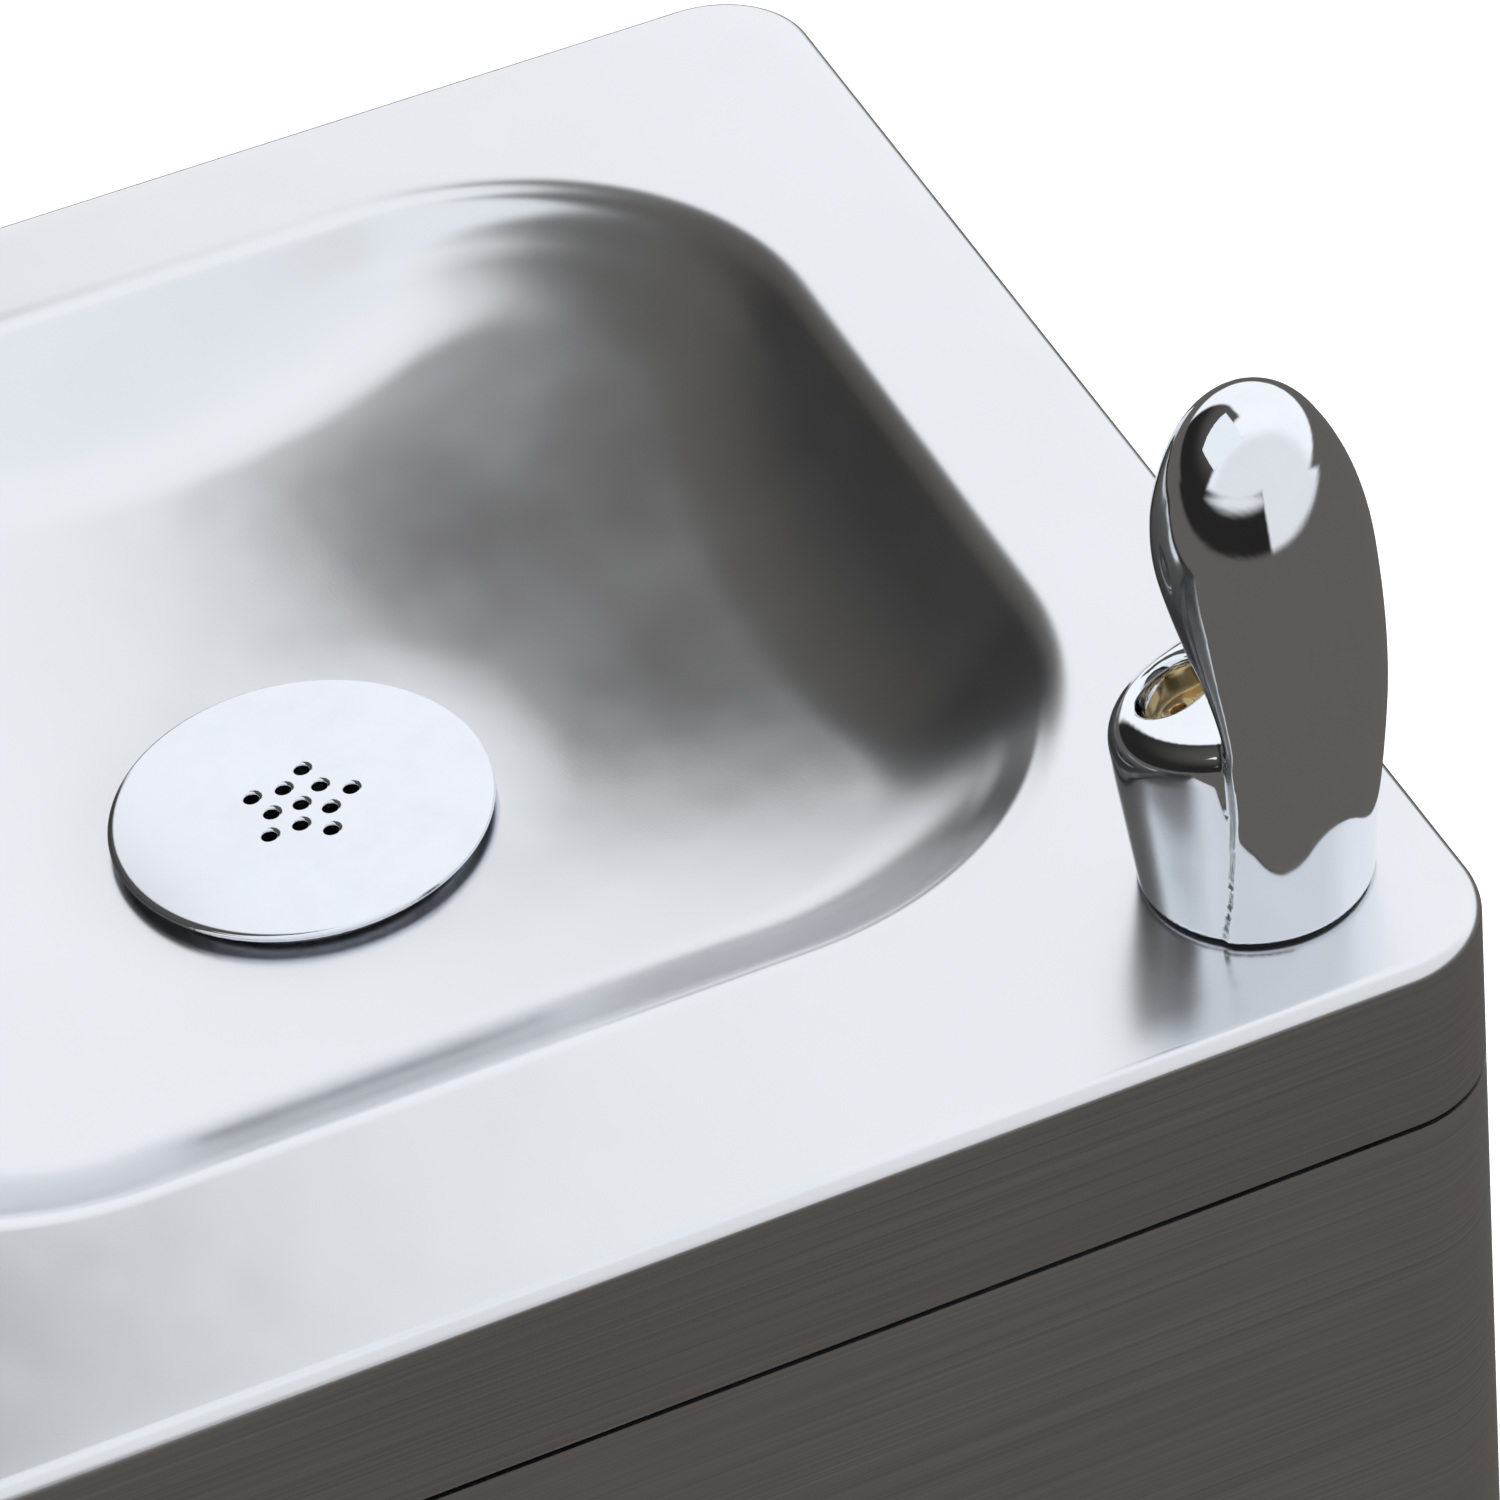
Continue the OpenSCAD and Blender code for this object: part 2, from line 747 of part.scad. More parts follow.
module cabinet_shell() {
    lip = 12;
    color("gray") difference() {
        translate([0, 0, 2]) linear_extrude(skirt_z - 3) difference() {
            round_rect(deck_w, deck_w, corner_r);
            difference() {
                round_rect(2 * inner, 2 * inner, corner_r - sheet);
                for (x = [-1, 1])
                    translate([x * (lip_x + sheet / 2), half - lip / 2]) square([sheet, lip], center = true);
            }
            translate([0, half]) square([door_opening, 60], center = true);
        }
        along_y(0, front_y - 5, button_z) cylinder(h = 10, r = barrel_r + 0.2);
        at_base_screws() cylinder(h = 20, r = 2.6, center = true);
    }
}

// An angle bar of length l along X: its leg stands back from the plane y = 0 and its flange reaches inward
module angle_bar(l, leg, flange, back) {
    translate([-l / 2, back, 0]) cube([l, bar, leg]);
    translate([-l / 2, 0, 0]) cube([l, flange, bar]);
}

// Four bars inside the cabinet; the rear one is short and set forward, to clear the door's recess
module bar_ring(z, leg, flange, back) {
    side = 2 * (inner - flange - 4);
    at_side(0, z) angle_bar(2 * (half - corner_r) - 2, leg, flange, back);
    at_side(180, z) translate([0, rear_set, 0]) angle_bar(door_opening - 0.4, leg, flange, back);
    for (a = [90, 270]) at_side(a, z) angle_bar(side, leg, flange, back);
}

module at_side(angle, z) {
    rotate([0, 0, angle]) translate([0, -inner, z]) children();
}

module top_frame() {
    color("silver") difference() {
        bar_ring(deck_h - leg_h, leg_h - sheet, flange_w, bar);
        at_studs(deck_h - leg_h - 1) cylinder(h = 10, r = 2.75);
        at_rear_screws() cylinder(h = 20, r = 2, center = true);
    }
}

module base_frame() {
    color("dimgray") difference() {
        bar_ring(0, base_h, base_w, 0);
        for (x = [-1, 1], y = [-1, 1])
            translate([x * anchor_x / 2, y * anchor_y / 2, -1]) cylinder(h = 10, r = anchor_r);
        at_base_screws() cylinder(h = 20, r = 2.5, center = true);
        at_rear_screws() cylinder(h = 20, r = 2, center = true);
    }
}

// Cabinet screws, two on each of the two sides, with their heads outward along local +Z
module at_base_screws() {
    for (a = [90, 270], x = [-100, 100])
        rotate([0, 0, a]) translate([x, -half, 18]) rotate([90, 0, 0]) children();
}

// A button-head screw whose seat is at z = 0
module screw(r, head, shank) {
    translate([0, 0, -shank]) cylinder(h = shank, r = r);
    cylinder(h = 1.2, r = head);
    translate([0, 0, 1.2]) cylinder(h = 1, r1 = head, r2 = head * 0.6);
}

module base_screws() {
    color("silver") at_base_screws() screw(2.5, 4.8, 5.5);
}

// Screws of the two fixed rear panels
module at_rear_screws() {
    for (x = [-110, 110], z = [18, skirt_z - 15])
        translate([x, door_face, z]) rotate([-90, 0, 0]) children();
}

module rear_screws() {
    color("silver") at_rear_screws() screw(2, 3.8, 5.5);
}

// A fixed rear panel, with a fold at the edge beside the door
module rear_panel(low, high, fold_z) {
    depth = 8;
    difference() {
        union() {
            translate([-lip_x + 0.2, door_face - sheet, low]) cube([door_opening - 0.4, sheet, high - low]);
            translate([-lip_x + 0.2, door_face - depth, fold_z]) cube([door_opening - 0.4, depth, sheet]);
        }
        at_rear_screws() cylinder(h = 20, r = 2.1, center = true);
        translate([pivot_x, pivot_y, low - 1]) cylinder(h = high - low + 2, r = pivot_r);
    }
}

module rear_header() {
    color("gray") rear_panel(door_high + 2, skirt_z - 1, door_high + 2);
}

module rear_kick() {
    color("gray") rear_panel(4, door_low - 2, door_low - 2 - sheet);
}

module rear_door() {
    depth = pan_flange;
    color("gray") difference() {
        union() {
            difference() {
                translate([-door_side, door_face - depth, door_low])
                    cube([2 * door_side, depth, door_high - door_low]);
                translate([-door_side + sheet, door_face - depth - 1, door_low + sheet])
                    cube([2 * (door_side - sheet), depth + 1 - sheet, door_high - door_low - 2 * sheet]);
            }
            for (z = [door_low, door_high - 14])
                translate([-door_side, door_face - depth, z]) cube([12, depth, 14]);
        }
        for (z = [door_low - 1, door_high - 14])
            translate([pivot_x, pivot_y, z]) cylinder(h = 15, r = pivot_r + fit);
        along_y(lock_x, door_face - 5, lock_z) cylinder(h = 10, r = 9);
    }
}

module door_pivots() {
    color("silver") for (z = [door_low - 10, door_high - 11])
        translate([pivot_x, pivot_y, z]) cylinder(h = pivot_l, r = pivot_r);
}

module lock_housing() {
    color("lightgray") along_y(lock_x, door_face, lock_z) difference() {
        union() {
            translate([0, 0, -14]) cylinder(h = 14, r = 9);
            cylinder(h = 1.8, r = 11.5);
        }
        translate([0, 0, -15]) cylinder(h = 20, r = 6 + fit);
    }
}

module lock_nut() {
    color("silver") along_y(lock_x, door_face - sheet - 6, lock_z) hex_nut(24, 9, 6);
}

module lock_plug() {
    color("silver") along_y(lock_x, door_face, lock_z) difference() {
        translate([0, 0, -17]) cylinder(h = 19.2, r = 6);
        translate([-0.8, -3.5, -2]) cube([1.6, 7, 5]);
    }
}

module lock_cam() {
    color("silver") along_y(lock_x, door_face - 17, lock_z) difference() {
        union() {
            cylinder(h = 2.5, r = 9);
            translate([-7, 0, 0]) cube([14, cam_len, 2.5]);
        }
        translate([0, 0, -1]) cylinder(h = 5, r = 6);
    }
}

basin();
basin_studs();
basin_nuts();
drain_cover();
drain_body();
drain_gasket();
drain_washer();
drain_locknut();
tailpiece();
slip_nuts();
trap_bend();
cleanout_plug();
trap_arm();
waste_pipe();
waste_adapter();
waste_clip();
bubbler_body();
bubbler_nozzle();
bubbler_gasket();
bubbler_shank();
bubbler_washer();
bubbler_locknut();
supply_tube();
compression_nuts();
valve_body();
valve_cap();
valve_stem();
stem_seal();
valve_spring();
flow_screw();
push_button();
button_bezel();
bezel_gasket();
bezel_nut();
inlet_tube();
strainer_body();
strainer_cap();
strainer_screen();
riser_tube();
stop_valve_body();
stop_valve_ball();
stop_valve_stem();
stop_valve_handle();
handle_nut();
water_clip();
cabinet_shell();
top_frame();
base_frame();
rear_header();
rear_kick();
rear_screws();
base_screws();
rear_door();
door_pivots();
lock_housing();
lock_nut();
lock_plug();
lock_cam();
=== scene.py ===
import math

import bpy
import numpy as np
from mathutils import Matrix, Vector


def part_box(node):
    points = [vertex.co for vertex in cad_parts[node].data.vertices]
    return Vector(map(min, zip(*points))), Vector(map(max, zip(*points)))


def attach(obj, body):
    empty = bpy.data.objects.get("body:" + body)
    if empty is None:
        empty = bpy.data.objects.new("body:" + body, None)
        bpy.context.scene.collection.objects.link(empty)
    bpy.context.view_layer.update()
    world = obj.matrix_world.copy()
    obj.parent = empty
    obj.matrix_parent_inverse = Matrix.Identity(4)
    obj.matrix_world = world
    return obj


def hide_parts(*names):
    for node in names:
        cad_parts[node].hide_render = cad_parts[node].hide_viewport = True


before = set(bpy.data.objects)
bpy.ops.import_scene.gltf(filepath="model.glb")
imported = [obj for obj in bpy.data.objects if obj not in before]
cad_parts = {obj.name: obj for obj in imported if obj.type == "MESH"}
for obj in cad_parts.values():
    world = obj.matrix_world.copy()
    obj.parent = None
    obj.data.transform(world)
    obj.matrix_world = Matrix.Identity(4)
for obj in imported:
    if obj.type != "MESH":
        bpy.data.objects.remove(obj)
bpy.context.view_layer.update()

# Looks of a floor-standing drinking fountain. The basin is a swept grid with a true sheet thickness,
# and the casting and the drain cover are level surfaces of smooth fields. Every other piece of the
# fountain but the button and its bezel is the CAD's own mesh, dressed with a material.
# Lengths are in metres, except inside the fields and profiles, which are in millimetres (MM).

MM = 0.001

# ---- Places that the CAD frame gives ----

BASIN_LOW, BASIN_HIGH = (Vector(c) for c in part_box("basin"))
DECK_Z = BASIN_HIGH.z
HALF = BASIN_HIGH.x
SKIRT_H = DECK_Z - BASIN_LOW.z
COVER_LOW, COVER_HIGH = (Vector(c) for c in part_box("drain_cover"))
COVER_C = (COVER_LOW + COVER_HIGH) / 2
COVER_R = (COVER_HIGH.x - COVER_LOW.x) / 2
GASKET_LOW, GASKET_HIGH = (Vector(c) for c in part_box("bubbler_gasket"))
BUBBLER_AT = Vector(((GASKET_LOW.x + GASKET_HIGH.x) / 2, (GASKET_LOW.y + GASKET_HIGH.y) / 2, GASKET_HIGH.z))
BEZEL_LOW, BEZEL_HIGH = (Vector(c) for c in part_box("button_bezel"))
BUTTON_LOW, BUTTON_HIGH = (Vector(c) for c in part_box("push_button"))
BUTTON_AT = (BUTTON_LOW + BUTTON_HIGH) / 2

SHEET = 1.2 * MM
CORNER_R = 24 * MM


# ---- Meshes ----

def add_mesh(name, verts, faces, materials, face_slots=None):
    """A smooth-shaded mesh object from plain lists."""
    mesh = bpy.data.meshes.new(name)
    mesh.from_pydata([tuple(v) for v in verts], [], [tuple(f) for f in faces])
    for material in materials:
        mesh.materials.append(material)
    mesh.polygons.foreach_set("use_smooth", [True] * len(mesh.polygons))
    if face_slots is not None:
        mesh.polygons.foreach_set("material_index", [int(i) for i in face_slots])
    mesh.validate()
    obj = bpy.data.objects.new(name, mesh)
    bpy.context.collection.objects.link(obj)
    return obj


def grid_normals(grid):
    """Unit normals of a grid of points [row, column, xyz], whose rows close on themselves."""
    across = np.roll(grid, -1, axis=1) - np.roll(grid, 1, axis=1)
    along = np.gradient(grid, axis=0)
    normals = np.cross(along, across)
    return normals / np.maximum(np.linalg.norm(normals, axis=2, keepdims=True), 1e-12)


def sheet_solid(name, grid, thickness, materials, slot_of_row):
    """A sheet of rings: the grid is its outer face, and its inner face lies thickness behind it."""
    rows, cols = grid.shape[:2]
    inner = grid - grid_normals(grid) * thickness
    verts = np.concatenate([grid.reshape(-1, 3), inner.reshape(-1, 3)])
    back = rows * cols
    last = (rows - 1) * cols
    faces = []
    slots = []
    for r in range(rows - 1):
        for c in range(cols):
            d = (c + 1) % cols
            a, b, e, f = r * cols + c, r * cols + d, (r + 1) * cols + d, (r + 1) * cols + c
            faces += [(a, f, e, b), (back + a, back + b, back + e, back + f)]
            slots += [slot_of_row[r]] * 2
    for c in range(cols):
        d = (c + 1) % cols
        faces += [(c, d, back + d, back + c), (last + d, last + c, back + last + c, back + last + d)]
        slots += [slots[0], slots[-1]]
    return add_mesh(name, verts, faces, materials, slots)


def revolve(name, profile, place, material, segments=128):
    """A closed ring: the profile's (radius, height) points, in millimetres, turned about place's Z."""
    turn = np.linspace(0, 2 * math.pi, segments, endpoint=False)
    verts = []
    for radius, height in profile:
        for t in turn:
            verts.append(place @ Vector((radius * math.cos(t), radius * math.sin(t), height)))
    count = len(profile)
    faces = []
    for p in range(count):
        q = (p + 1) % count
        for s in range(segments):
            t = (s + 1) % segments
            faces.append((p * segments + s, p * segments + t, q * segments + t, q * segments + s))
    return add_mesh(name, verts, faces, [material])


def arc(centre, radius, start, end, steps=8):
    """Points of an arc in a profile, angles in degrees."""
    angles = np.radians(np.linspace(start, end, steps + 1))
    return [(centre[0] + radius * math.cos(a), centre[1] + radius * math.sin(a)) for a in angles]


# ---- Smooth fields: negative inside, in millimetres ----

def smooth_max(a, b, k):
    """The larger of a and b, rounded where they come within k of each other."""
    h = np.clip(0.5 + 0.5 * (a - b) / k, 0, 1)
    return b + (a - b) * h + k * h * (1 - h)


def smooth_min(a, b, k):
    """The smaller of a and b, rounded where they come within k of each other."""
    return -smooth_max(-a, -b, k)


def curve(stations, values):
    """A smooth function through a few points, flat beyond both ends."""
    stations = np.array(stations, float)
    values = np.array(values, float)
    slopes = np.gradient(values, stations)

    def at(z):
        z = np.clip(z, stations[0], stations[-1])
        i = np.clip(np.searchsorted(stations, z) - 1, 0, len(stations) - 2)
        span = stations[i + 1] - stations[i]
        t = (z - stations[i]) / span
        return (
            values[i] * (1 + 2 * t) * (1 - t) ** 2
            + slopes[i] * span * t * (1 - t) ** 2
            + values[i + 1] * t**2 * (3 - 2 * t)
            + slopes[i + 1] * span * t**2 * (t - 1)
        )

    return at


def level_surface(field, low, high, step):
    """Vertices and quads of field = 0 on a grid, pulled onto the exact surface."""
    axes = [np.arange(a, b + step, step) for a, b in zip(low, high)]
    x, y, z = np.meshgrid(*axes, indexing="ij")
    values = field(x, y, z)
    inside = values < 0
    shape = tuple(n - 1 for n in values.shape)
    sums = np.zeros(shape + (3,))
    counts = np.zeros(shape)
    for axis in range(3):
        others = [a for a in range(3) if a != axis]
        for i in (0, 1):
            for j in (0, 1):
                lo = [slice(None)] * 3
                hi = [slice(None)] * 3
                lo[axis] = slice(0, -1)
                hi[axis] = slice(1, None)
                for other, side in zip(others, (i, j)):
                    pick = slice(side, side - 1 if side == 0 else None)
                    lo[other] = pick
                    hi[other] = pick
                a, b = values[tuple(lo)], values[tuple(hi)]
                cross = (a < 0) != (b < 0)
                t = np.where(cross, a / np.where(cross, a - b, 1), 0)
                point = [np.zeros(shape)] * 3
                point[axis] = t
                point[others[0]] = np.full(shape, float(i))
                point[others[1]] = np.full(shape, float(j))
                for k in range(3):
                    sums[..., k] += np.where(cross, point[k], 0)
                counts += cross
    active = counts > 0
    index = -np.ones(shape, int)
    index[active] = np.arange(active.sum())
    cells = np.argwhere(active)
    verts = np.array(low) + step * (cells + sums[active] / counts[active][:, None])
    quads = []
    for axis in range(3):
        u, v = [(1, 2), (2, 0), (0, 1)][axis]
        lo = [slice(1, -1)] * 3
        hi = [slice(1, -1)] * 3
        lo[axis] = slice(0, -1)
        hi[axis] = slice(1, None)
        a, b = inside[tuple(lo)], inside[tuple(hi)]
        for grows in (True, False):
            edges = np.argwhere((a & ~b) if grows else (~a & b))
            edges[:, u] += 1
            edges[:, v] += 1
            corners = []
            for du, dv in ((-1, -1), (0, -1), (0, 0), (-1, 0)):
                cell = edges.copy()
                cell[:, u] += du
                cell[:, v] += dv
                corners.append(index[cell[:, 0], cell[:, 1], cell[:, 2]])
            quad = np.stack(corners, axis=1)
            quads.append(quad if grows else quad[:, ::-1])
    quads = np.concatenate(quads)
    h = 0.02
    for _ in range(4):
        px, py, pz = verts.T
        here = field(px, py, pz)
        slope = np.stack([
            field(px + h, py, pz) - field(px - h, py, pz),
            field(px, py + h, pz) - field(px, py - h, pz),
            field(px, py, pz + h) - field(px, py, pz - h),
        ], axis=1) / (2 * h)
        pull = here / np.maximum((slope**2).sum(1), 0.05)
        verts = verts - np.clip(pull, -step / 2, step / 2)[:, None] * slope
    return verts, quads


def field_object(name, field, low, high, step, place, material):
    """A mesh of a field, moved from its own millimetres to the frame by place."""
    verts, quads = level_surface(field, low, high, step)
    matrix = np.array(place)
    world = verts @ matrix[:3, :3].T + matrix[:3, 3]
    return add_mesh(name, world, quads, [material])


# ---- Materials ----

def new_material(name, color, rough, metallic=1.0, **values):
    """A Principled material and the parts that its details hang on."""
    material = bpy.data.materials.new(name)
    material.use_nodes = True
    nodes = material.node_tree.nodes
    shader = nodes["Principled BSDF"]
    shader.inputs["Base Color"].default_value = (*color, 1)
    shader.inputs["Roughness"].default_value = rough
    shader.inputs["Metallic"].default_value = metallic
    for key, value in values.items():
        shader.inputs[key.replace("_", " ")].default_value = value
    return material, nodes, material.node_tree.links, shader


def noise(nodes, links, scale, detail=3.0, rough=0.55):
    """Noise over object space, stretched by scale, in cycles per metre."""
    coords = nodes.new("ShaderNodeTexCoord")
    mapping = nodes.new("ShaderNodeMapping")
    mapping.inputs["Scale"].default_value = scale
    texture = nodes.new("ShaderNodeTexNoise")
    texture.inputs["Scale"].default_value = 1.0
    texture.inputs["Detail"].default_value = detail
    texture.inputs["Roughness"].default_value = rough
    links.new(coords.outputs["Object"], mapping.inputs["Vector"])
    links.new(mapping.outputs["Vector"], texture.inputs["Vector"])
    return texture.outputs["Fac"]


def ramp_value(nodes, links, source, low, high, start=0.3, end=0.7):
    """The source spread between two values."""
    spread = nodes.new("ShaderNodeMapRange")
    spread.inputs["From Min"].default_value = start
    spread.inputs["From Max"].default_value = end
    spread.inputs["To Min"].default_value = low
    spread.inputs["To Max"].default_value = high
    links.new(source, spread.inputs["Value"])
    return spread.outputs["Result"]


def tint(nodes, links, source, dark, light, start=0.35, end=0.65):
    """A colour between dark and light that follows the source."""
    mix = nodes.new("ShaderNodeMix")
    mix.data_type = "RGBA"
    mix.inputs[6].default_value = (*dark, 1)
    mix.inputs[7].default_value = (*light, 1)
    links.new(ramp_value(nodes, links, source, 0, 1, start, end), mix.inputs[0])
    return mix.outputs[2]


def bump(nodes, links, height, strength, distance, base=None):
    """A bump node, which may stand on another."""
    node = nodes.new("ShaderNodeBump")
    node.inputs["Strength"].default_value = strength
    node.inputs["Distance"].default_value = distance
    links.new(height, node.inputs["Height"])
    if base is not None:
        links.new(base, node.inputs["Normal"])
    return node.outputs["Normal"]


def brushed_steel(name, color, rough, grain=(5, 5, 1300), depth=0.06):
    """Steel with long brush lines along the two low-frequency directions."""
    material, nodes, links, shader = new_material(name, color, rough)
    lines = noise(nodes, links, grain, detail=4, rough=0.7)
    wear = noise(nodes, links, (14, 14, 14), detail=3)
    dark = tuple(c * 0.86 for c in color)
    light = tuple(min(c * 1.08, 1) for c in color)
    links.new(tint(nodes, links, lines, dark, light), shader.inputs["Base Color"])
    rough_lines = ramp_value(nodes, links, lines, rough - 0.06, rough + 0.07)
    spread = nodes.new("ShaderNodeMath")
    spread.operation = "ADD"
    links.new(rough_lines, spread.inputs[0])
    links.new(ramp_value(nodes, links, wear, -0.03, 0.04), spread.inputs[1])
    links.new(spread.outputs[0], shader.inputs["Roughness"])
    links.new(bump(nodes, links, lines, depth, 0.0002), shader.inputs["Normal"])
    return material


def satin_steel(name, color, rough):
    """Drawn sheet with a fine even grain and faint large-scale waviness."""
    material, nodes, links, shader = new_material(name, color, rough)
    grain = noise(nodes, links, (2600, 2600, 2600), detail=2)
    cloud = noise(nodes, links, (11, 11, 11), detail=3)
    dark = tuple(c * 0.95 for c in color)
    links.new(tint(nodes, links, cloud, dark, color), shader.inputs["Base Color"])
    links.new(ramp_value(nodes, links, cloud, rough - 0.04, rough + 0.05), shader.inputs["Roughness"])
    wave = bump(nodes, links, cloud, 0.25, 0.002)
    links.new(bump(nodes, links, grain, 0.05, 0.0001, wave), shader.inputs["Normal"])
    return material


def polished(name, color, rough=0.04):
    """Bright plate with faint smears."""
    material, nodes, links, shader = new_material(name, color, rough)
    smear = noise(nodes, links, (70, 70, 35), detail=5, rough=0.6)
    links.new(ramp_value(nodes, links, smear, rough, rough + 0.05, 0.4, 0.75), shader.inputs["Roughness"])
    links.new(tint(nodes, links, smear, tuple(c * 0.96 for c in color), color), shader.inputs["Base Color"])
    return material


def worn_metal(name, color, rough, scale=160, spots=0.8):
    """Plated or machined metal with mottling and fine tool marks."""
    material, nodes, links, shader = new_material(name, color, rough)
    mottle = noise(nodes, links, (scale, scale, scale), detail=5)
    links.new(tint(nodes, links, mottle, tuple(c * spots for c in color), color), shader.inputs["Base Color"])
    links.new(ramp_value(nodes, links, mottle, rough - 0.06, rough + 0.1), shader.inputs["Roughness"])
    marks = noise(nodes, links, (scale * 9, scale * 9, scale * 9), detail=2)
    links.new(bump(nodes, links, marks, 0.12, 0.0001), shader.inputs["Normal"])
    return material


def dull(name, color, rough, scale=220, **values):
    """Rubber, plastic or paint, with a fine uneven skin."""
    material, nodes, links, shader = new_material(name, color, rough, metallic=0.0, **values)
    skin = noise(nodes, links, (scale, scale, scale), detail=4)
    links.new(tint(nodes, links, skin, tuple(c * 0.75 for c in color), color), shader.inputs["Base Color"])
    links.new(ramp_value(nodes, links, skin, rough - 0.08, min(rough + 0.08, 1)), shader.inputs["Roughness"])
    links.new(bump(nodes, links, skin, 0.15, 0.0002), shader.inputs["Normal"])
    return material


# The deck and the skirt are one stainless sheet, but the deck's colour is set lighter than the skirt's:
# painted light on the upward faces.
DECK_PAINTED_LIGHT = satin_steel("deck_satin_painted_light", (0.83, 0.845, 0.87), 0.23)
SKIRT = brushed_steel("skirt_brushed", (0.60, 0.585, 0.575), 0.30)
CABINET = brushed_steel("cabinet_brushed", (0.62, 0.61, 0.60), 0.33)
CHROME = polished("chrome_plate", (0.86, 0.89, 0.93))
MIRROR = polished("mirror_cover", (0.82, 0.85, 0.90), 0.06)
ZINC = worn_metal("zinc_plate", (0.62, 0.63, 0.66), 0.38)
BRASS = worn_metal("machined_brass", (0.76, 0.56, 0.27), 0.28)
COPPER = worn_metal("drawn_copper", (0.80, 0.42, 0.27), 0.30)
BARE = worn_metal("bare_stainless", (0.66, 0.67, 0.69), 0.26)
PAINT = dull("primer_paint", (0.045, 0.048, 0.052), 0.5)
RUBBER = dull("moulded_rubber", (0.022, 0.022, 0.022), 0.75)
PVC = dull("grey_pvc", (0.16, 0.17, 0.18), 0.5)
RED = dull("lever_cover", (0.42, 0.02, 0.018), 0.32, scale=90, Coat_Weight=0.4)

NODE_MATERIALS = {
    CABINET: ["cabinet_shell", "rear_header", "rear_kick", "rear_door"],
    CHROME: ["lock_housing", "lock_plug", "tailpiece", "slip_nuts", "trap_bend", "trap_arm"],
    ZINC: [
        "basin_studs", "basin_nuts", "drain_washer", "waste_pipe", "waste_clip", "water_clip",
        "top_frame", "rear_screws", "base_screws", "door_pivots", "lock_nut", "lock_cam",
        "flow_screw", "bezel_nut", "handle_nut",
    ],
    BARE: [
        "drain_body", "valve_stem", "valve_spring", "stop_valve_stem", "stop_valve_ball",
        "strainer_screen",
    ],
    BRASS: [
        "drain_locknut", "cleanout_plug", "bubbler_nozzle", "bubbler_shank", "bubbler_locknut",
        "compression_nuts", "valve_body", "valve_cap", "strainer_body", "strainer_cap", "stop_valve_body",
    ],
    COPPER: ["supply_tube", "inlet_tube", "riser_tube"],
    RUBBER: ["drain_gasket", "bubbler_gasket", "bezel_gasket", "stem_seal", "bubbler_washer"],
    PAINT: ["base_frame"],
    PVC: ["waste_adapter"],
    RED: ["stop_valve_handle"],
}


def dress_nodes():
    """Gives every shown CAD node its material, and softens the sharp edges of all but the thin shell."""
    for material, names in NODE_MATERIALS.items():
        for name in names:
            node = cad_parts[name]
            node.data.materials.clear()
            node.data.materials.append(material)
            if name == "cabinet_shell":
                continue
            weld = node.modifiers.new("weld", "WELD")
            weld.merge_threshold = 1e-6
            edge = node.modifiers.new("edge", "BEVEL")
            edge.width = 0.25 * MM
            edge.segments = 2
            edge.limit_method = "ANGLE"
            edge.angle_limit = math.radians(40)
            edge.harden_normals = True


# ---- Basin ----

BOWL_A, BOWL_B, BOWL_R, BOWL_Y = 152 * MM, 144 * MM, 84 * MM, 12 * MM
BOWL_DEPTH = 38
LIP_R = 12
WALL_ANGLE = 40
DISH_R = 480
FLAT_R = 45
# The rounding between the wall and the dish, which is full this far in from the rim.
FOOT_BLEND = 9
FOOT_BLEND_INSET = 18
EDGE_R = 4
# Of the last SKIRT_ROWS rings, those more than SKIRT_DROP under the deck are the skirt.
SKIRT_ROWS = 20
SKIRT_DROP = 2.2
# Rings round the drain, the first of them at the throat's edge.
DRAIN_RINGS = (20.3, 26, 32, 38, 42, 45, 48)
# The inset at which the rings, round at the drain, have taken the rim's shape.
RIM_RINGS_START = 70


def rounded_radius(theta, a, b, r):
    """Distance from the centre to a rounded rectangle of half sizes a and b along each angle."""
    c = np.maximum(np.abs(np.cos(theta)), 1e-9)
    s = np.maximum(np.abs(np.sin(theta)), 1e-9)
    x, y = a - r, b - r
    dot = c * x + s * y
    corner = dot + np.sqrt(np.maximum(dot**2 - (x**2 + y**2 - r**2), 0))
    return np.where(a * s / c <= y, a / c, np.where(b * c / s <= x, b / s, corner))


def deck_angles(side_steps=72, corner_steps=26):
    """Angles that follow the deck's outline: even along its sides and dense round its corners."""
    flat = HALF - CORNER_R
    start = math.atan2(flat, HALF)
    offsets = np.linspace(-flat, flat, side_steps, endpoint=False)
    side = np.arctan2(offsets, HALF)
    round_part = np.linspace(start, math.pi / 2 - start, corner_steps, endpoint=False)
    quarter = np.concatenate([side, round_part])
    return np.concatenate([quarter + k * math.pi / 2 for k in range(4)])


def rim_inset(x, y):
    """Distance in from the bowl's outline, in metres."""
    qx = np.abs(x) - (BOWL_A - BOWL_R)
    qy = np.abs(y - BOWL_Y) - (BOWL_B - BOWL_R)
    outside = np.hypot(np.maximum(qx, 0), np.maximum(qy, 0))
    return BOWL_R - outside - np.minimum(np.maximum(qx, qy), 0)


